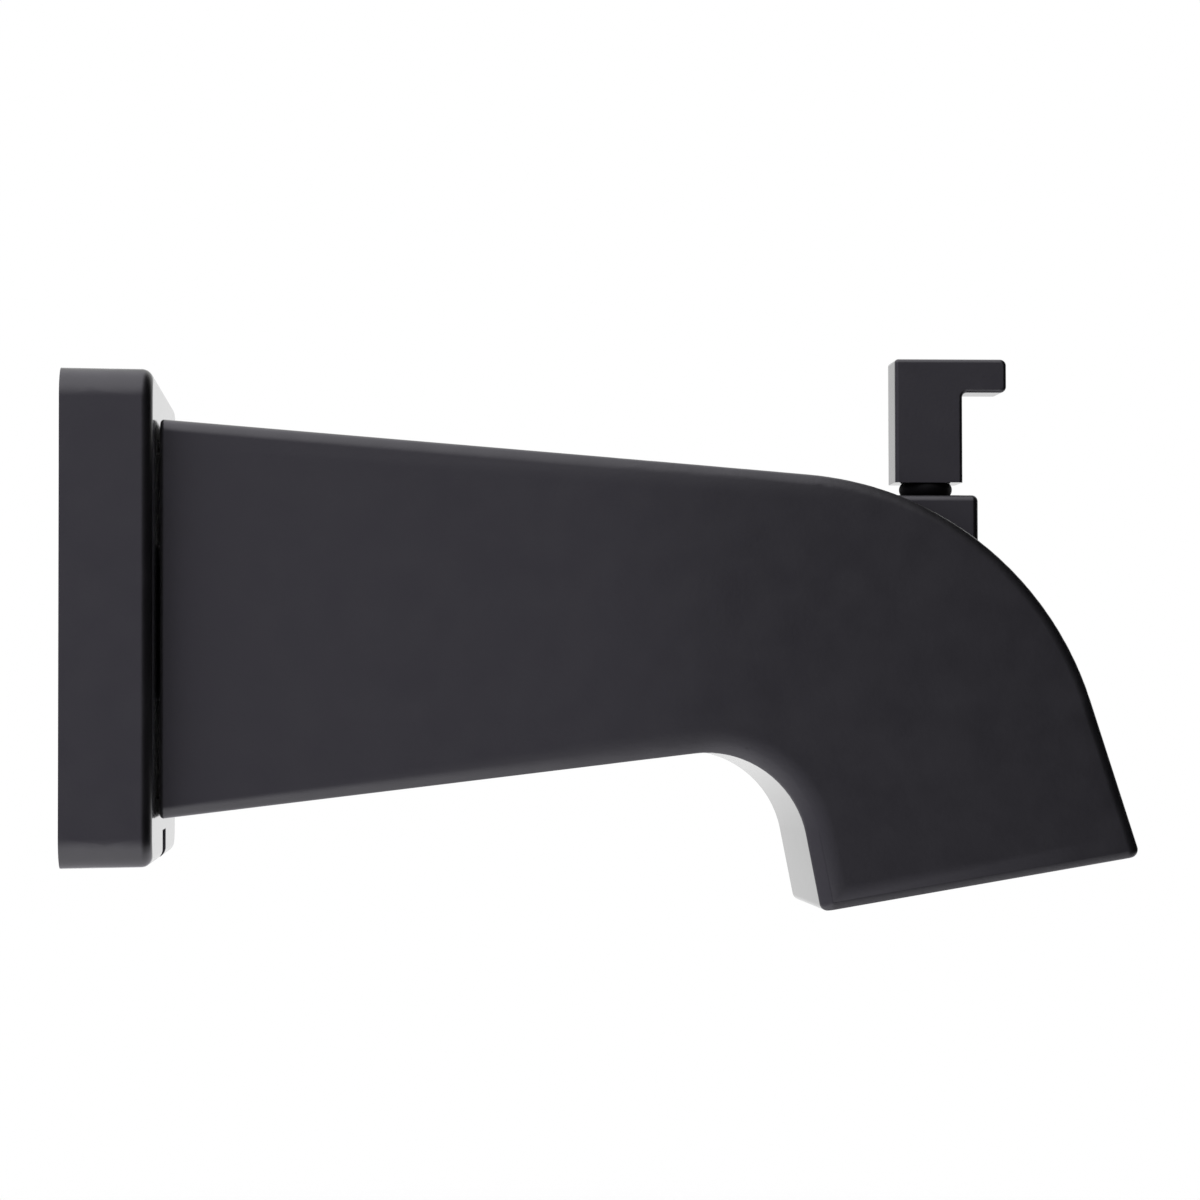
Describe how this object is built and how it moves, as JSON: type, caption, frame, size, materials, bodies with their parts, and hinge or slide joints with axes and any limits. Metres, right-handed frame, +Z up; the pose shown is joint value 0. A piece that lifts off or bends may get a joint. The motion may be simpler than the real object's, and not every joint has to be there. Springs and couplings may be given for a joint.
{
  "type": "bath spout",
  "caption": "Wall-mounted bath spout: tapering hollow casting with a square wall flange, slip-on inlet, down-turned open nose and a hooked lift knob that raises a diverter gate.",
  "frame": {"origin": "on the inlet axis, in the plane of the wall", "axes": "+X out of the wall towards the nose, +Y across the spout, +Z up towards the lift knob"},
  "size_m": [0.1684, 0.076, 0.0883],
  "materials": {
    "black_paint": "satin black paint",
    "brass": "turned",
    "steel": "turned",
    "rubber": "moulded matte",
    "moulded_plastic": "moulded matte"
  },
  "bodies": {
    "spout": {"spout_body": "black_paint", "wall_flange": "black_paint", "flange_retaining_ring": "steel", "inlet_adapter": "brass", "inlet_seal_outer": "rubber", "inlet_seal_inner": "rubber", "adapter_seal": "rubber", "set_screw": "steel", "rod_bushing": "moulded_plastic", "rod_seal": "rubber"},
    "diverter": {"lift_knob": "black_paint", "lift_rod": "steel", "knob_bumper": "rubber", "diverter_gate": "moulded_plastic", "gate_seal": "rubber"}
  },
  "joints": [
    {"name": "diverter_lift", "type": "slide", "parent": "spout", "child": "diverter", "axis": [0, 0, 1], "range_m": [0, 0.012]}
  ]
}
